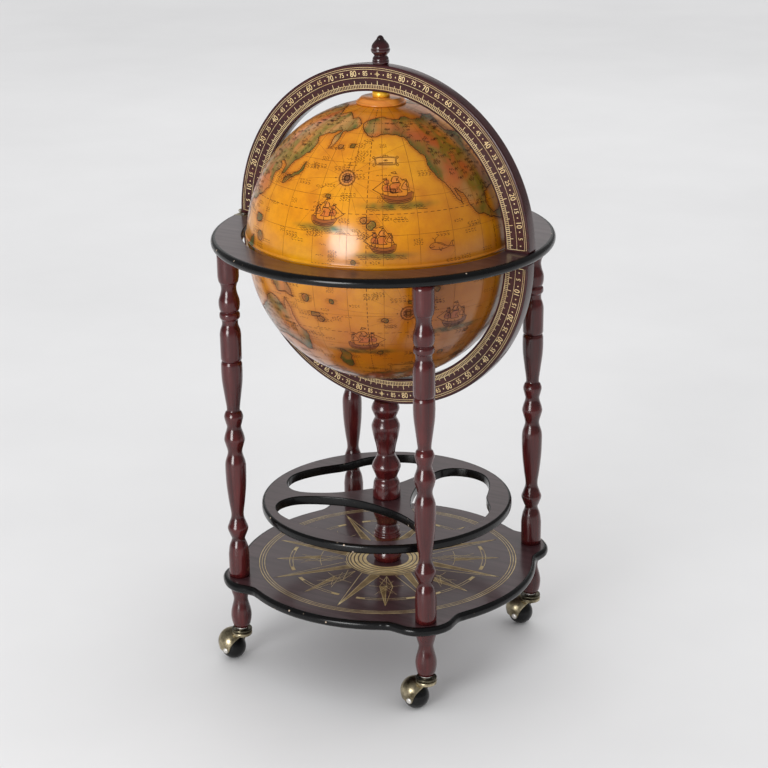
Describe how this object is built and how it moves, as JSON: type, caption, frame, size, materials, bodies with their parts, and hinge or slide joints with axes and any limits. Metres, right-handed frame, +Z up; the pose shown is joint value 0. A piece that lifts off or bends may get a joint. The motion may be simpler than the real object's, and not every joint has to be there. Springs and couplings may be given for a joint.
{
  "type": "floor globe bar",
  "caption": "Floor globe bar: hinged half-globe lid over a bottle well and glass deck, horizon ring on turned legs, pierced bottle shelf, shaped bottom shelf, hooded ball casters",
  "frame": {"origin": "on the floor, on the axis of the globe and column, at rest with the lid shut", "axes": "+Z up, +X from the lid hinge towards the opening side, the half meridian rings lie in the XZ plane, legs on the diagonals of X and Y"},
  "size_m": [0.505, 0.505, 0.9537],
  "materials": {
    "bottom_shelf": "dark stained board, satin, with thin gold rings and a many-pointed star, glossy black edge",
    "bottle_shelf": "dark stained board, satin, glossy black edges",
    "horizon_ring": "dark stained board, satin, glossy black edge",
    "meridian_lower": "dark lacquered ring, glossy black edge, thin gold lines",
    "meridian_upper": "dark lacquered ring, glossy black edge, gold tick scale with plain degree numbers",
    "bar_deck": "stained board, satin lacquer",
    "deck_ledge": "stained board, satin lacquer",
    "bottle_well": "dark brown, satin",
    "well_floor": "stained board, satin lacquer",
    "column": "turned, reddish mahogany stain, satin lacquer",
    "leg": "turned, reddish mahogany stain, satin lacquer",
    "caster_brass": "antique brass, satin, dark in the hollows",
    "caster_axle": "bright domed rivet",
    "caster_ball": "near-black, glossy",
    "globe_lower": "moulded shell under a printed map in antique amber and orange, satin lacquer",
    "globe_upper": "moulded shell under a printed map in antique amber and orange, satin lacquer",
    "pole_spacer": "bright yellow brass, polished",
    "pole_bolt": "plain",
    "pole_cap": "turned, orange stain, satin lacquer",
    "finial": "turned, reddish mahogany stain, satin lacquer",
    "hinge_leaf": "stamped, satin",
    "hinge_screw": "plain"
  },
  "bodies": {
    "base": {"bottom_shelf": "bottom_shelf", "column_lower": "column", "bottle_shelf": "bottle_shelf", "column_upper": "column", "horizon_ring": "horizon_ring", "meridian_lower": "meridian_lower", "leg_upper_right_front": "leg", "leg_lower_right_front": "leg", "foot_right_front": "leg", "caster_collar_right_front": "caster_brass", "leg_upper_left_front": "leg", "leg_lower_left_front": "leg", "foot_left_front": "leg", "caster_collar_left_front": "caster_brass", "leg_upper_left_back": "leg", "leg_lower_left_back": "leg", "foot_left_back": "leg", "caster_collar_left_back": "caster_brass", "leg_upper_right_back": "leg", "leg_lower_right_back": "leg", "foot_right_back": "leg", "caster_collar_right_back": "caster_brass", "globe_lower": "globe_lower", "pole_spacer_lower": "pole_spacer", "pole_bolt_lower": "pole_bolt", "bar_deck": "bar_deck", "deck_ledge": "deck_ledge", "bottle_well": "bottle_well", "well_floor": "well_floor", "hinge_leaf_ring": "hinge_leaf", "hinge_pin": "hinge_screw", "hinge_screw_front": "hinge_screw", "hinge_screw_back": "hinge_screw"},
    "lid": {"globe_upper": "globe_upper", "meridian_upper": "meridian_upper", "pole_cap": "pole_cap", "pole_spacer_upper": "pole_spacer", "pole_bolt_upper": "pole_bolt", "finial": "finial", "hinge_leaf_lid": "hinge_leaf"},
    "swivel_right_front": {"caster_hood_right_front": "caster_brass", "caster_axle_right_front": "caster_axle"},
    "ball_right_front": {"caster_ball_right_front": "caster_ball"},
    "swivel_left_front": {"caster_hood_left_front": "caster_brass", "caster_axle_left_front": "caster_axle"},
    "ball_left_front": {"caster_ball_left_front": "caster_ball"},
    "swivel_left_back": {"caster_hood_left_back": "caster_brass", "caster_axle_left_back": "caster_axle"},
    "ball_left_back": {"caster_ball_left_back": "caster_ball"},
    "swivel_right_back": {"caster_hood_right_back": "caster_brass", "caster_axle_right_back": "caster_axle"},
    "ball_right_back": {"caster_ball_right_back": "caster_ball"}
  },
  "joints": [
    {"name": "lid_hinge", "type": "hinge", "parent": "base", "child": "lid", "pos_m": [-0.2496, 0, 0.6676], "axis": [0, -1, 0], "range_deg": [0, 90]},
    {"name": "caster_swivel_right_front", "type": "hinge", "parent": "base", "child": "swivel_right_front", "pos_m": [0.16384, -0.16384, 0.046], "axis": [0, 0, 1], "continuous": true},
    {"name": "caster_roll_right_front", "type": "hinge", "parent": "swivel_right_front", "child": "ball_right_front", "pos_m": [0.14684, -0.16384, 0.019], "axis": [0, 1, 0], "continuous": true},
    {"name": "caster_swivel_left_front", "type": "hinge", "parent": "base", "child": "swivel_left_front", "pos_m": [-0.16384, -0.16384, 0.046], "axis": [0, 0, 1], "continuous": true},
    {"name": "caster_roll_left_front", "type": "hinge", "parent": "swivel_left_front", "child": "ball_left_front", "pos_m": [-0.18084, -0.16384, 0.019], "axis": [0, 1, 0], "continuous": true},
    {"name": "caster_swivel_left_back", "type": "hinge", "parent": "base", "child": "swivel_left_back", "pos_m": [-0.16384, 0.16384, 0.046], "axis": [0, 0, 1], "continuous": true},
    {"name": "caster_roll_left_back", "type": "hinge", "parent": "swivel_left_back", "child": "ball_left_back", "pos_m": [-0.18084, 0.16384, 0.019], "axis": [0, 1, 0], "continuous": true},
    {"name": "caster_swivel_right_back", "type": "hinge", "parent": "base", "child": "swivel_right_back", "pos_m": [0.16384, 0.16384, 0.046], "axis": [0, 0, 1], "continuous": true},
    {"name": "caster_roll_right_back", "type": "hinge", "parent": "swivel_right_back", "child": "ball_right_back", "pos_m": [0.14684, 0.16384, 0.019], "axis": [0, 1, 0], "continuous": true}
  ]
}
